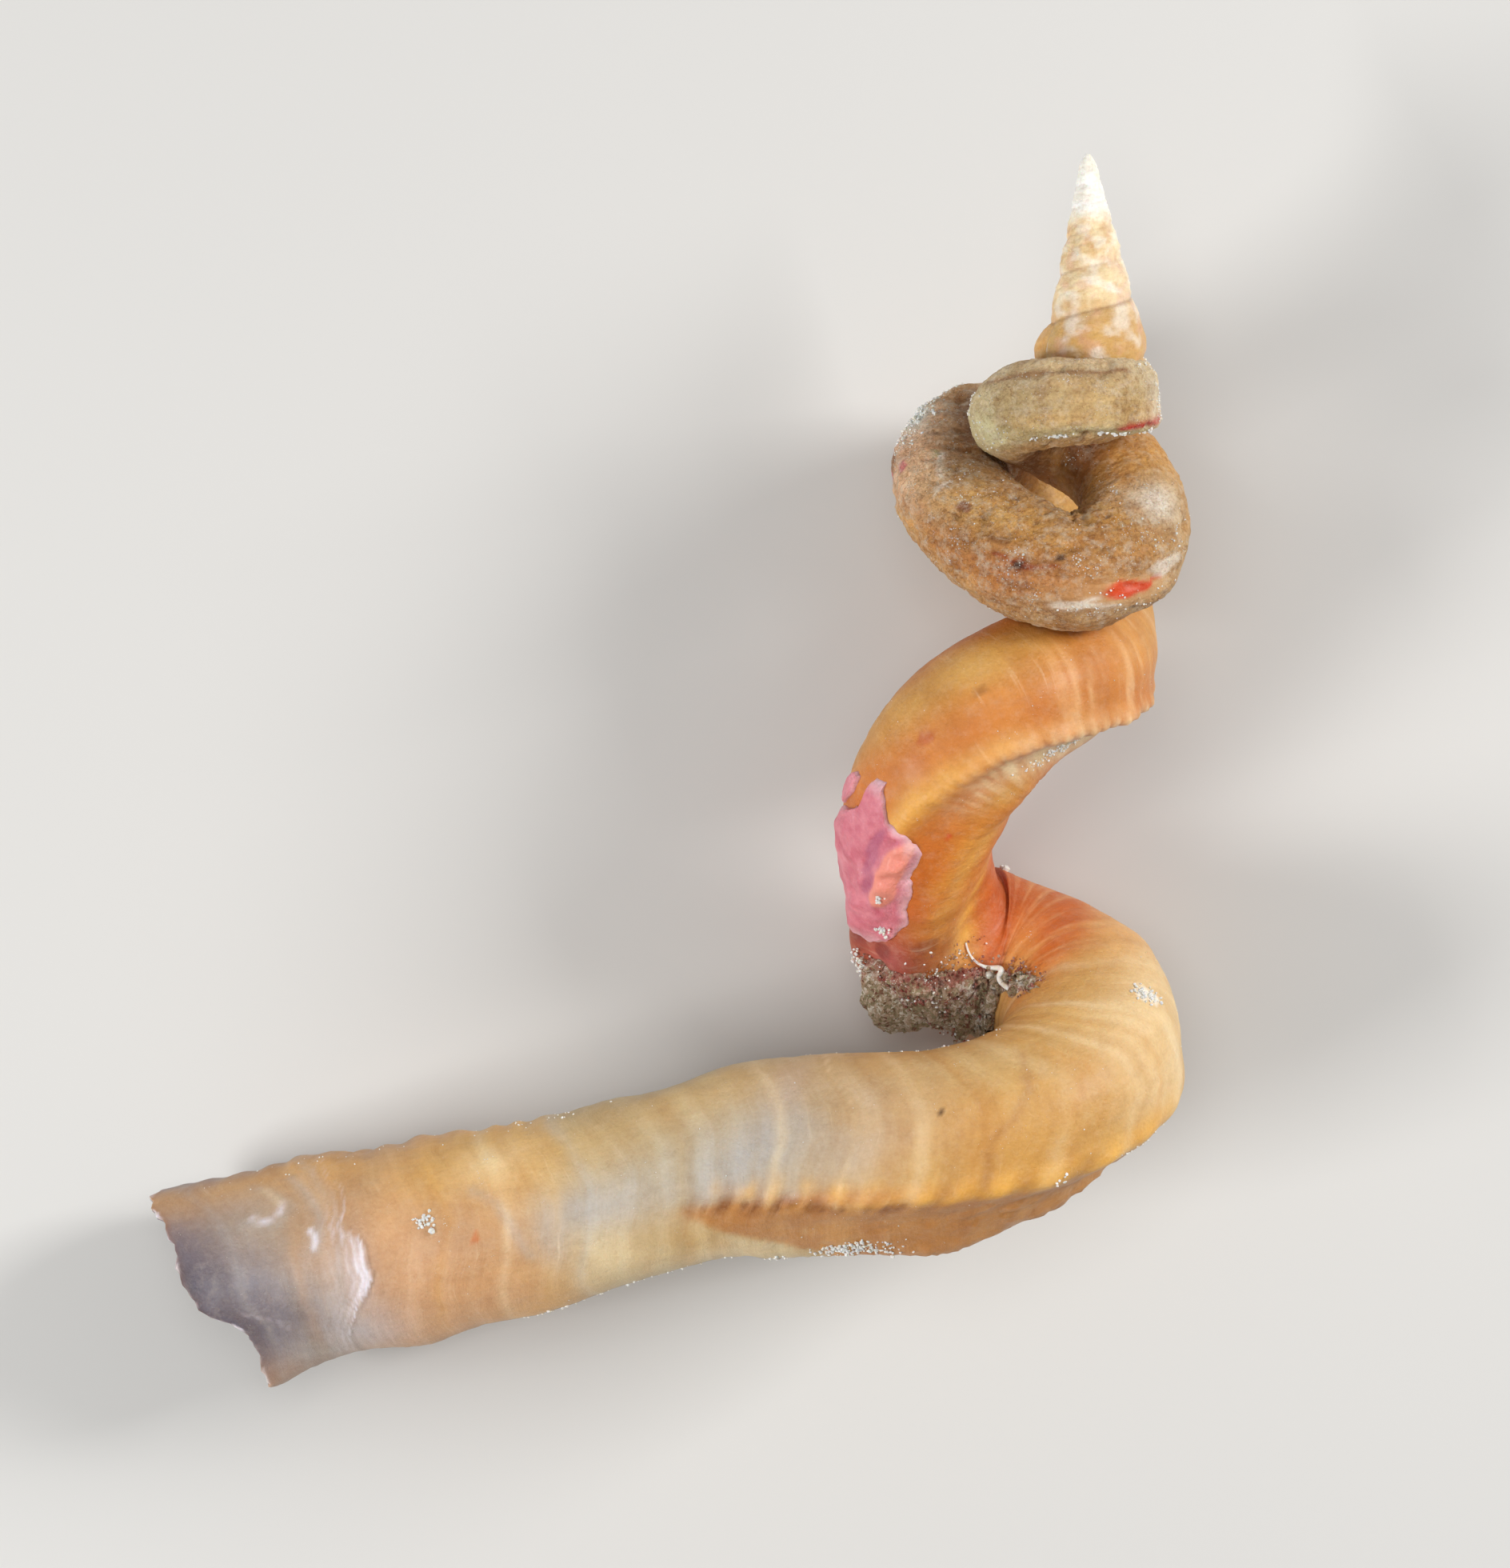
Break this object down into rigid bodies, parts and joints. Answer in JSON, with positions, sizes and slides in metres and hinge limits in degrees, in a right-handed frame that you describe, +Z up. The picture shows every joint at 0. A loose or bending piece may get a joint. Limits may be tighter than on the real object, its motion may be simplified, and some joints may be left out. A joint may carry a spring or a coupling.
{
  "type": "worm snail shell",
  "caption": "Loosely coiled worm snail shell lying on its side: a tight pointed spire that opens into free coils and a long tube with a broken lip, with algae and grit crusts.",
  "frame": {"origin": "middle of the shell's footprint, on the surface that it lies on", "axes": "+Y points to the tip of the spire, +X to the coils' side away from the broken lip, and +Z up, towards the face that is seen"},
  "size_m": [0.0518, 0.0614, 0.0193],
  "materials": {
    "shell": "natural lime shell, satin, amber to cream",
    "pink_algae_crust": "pink coralline crust, satin",
    "grit_crust": "grey sandy grit, rough",
    "worm_tube": "thin limy tube, satin"
  },
  "bodies": {
    "root": {"shell": "shell", "pink_algae_crust": "pink_algae_crust", "pink_algae_chip": "pink_algae_crust", "grit_crust": "grit_crust", "worm_tube": "worm_tube"}
  },
  "joints": []
}
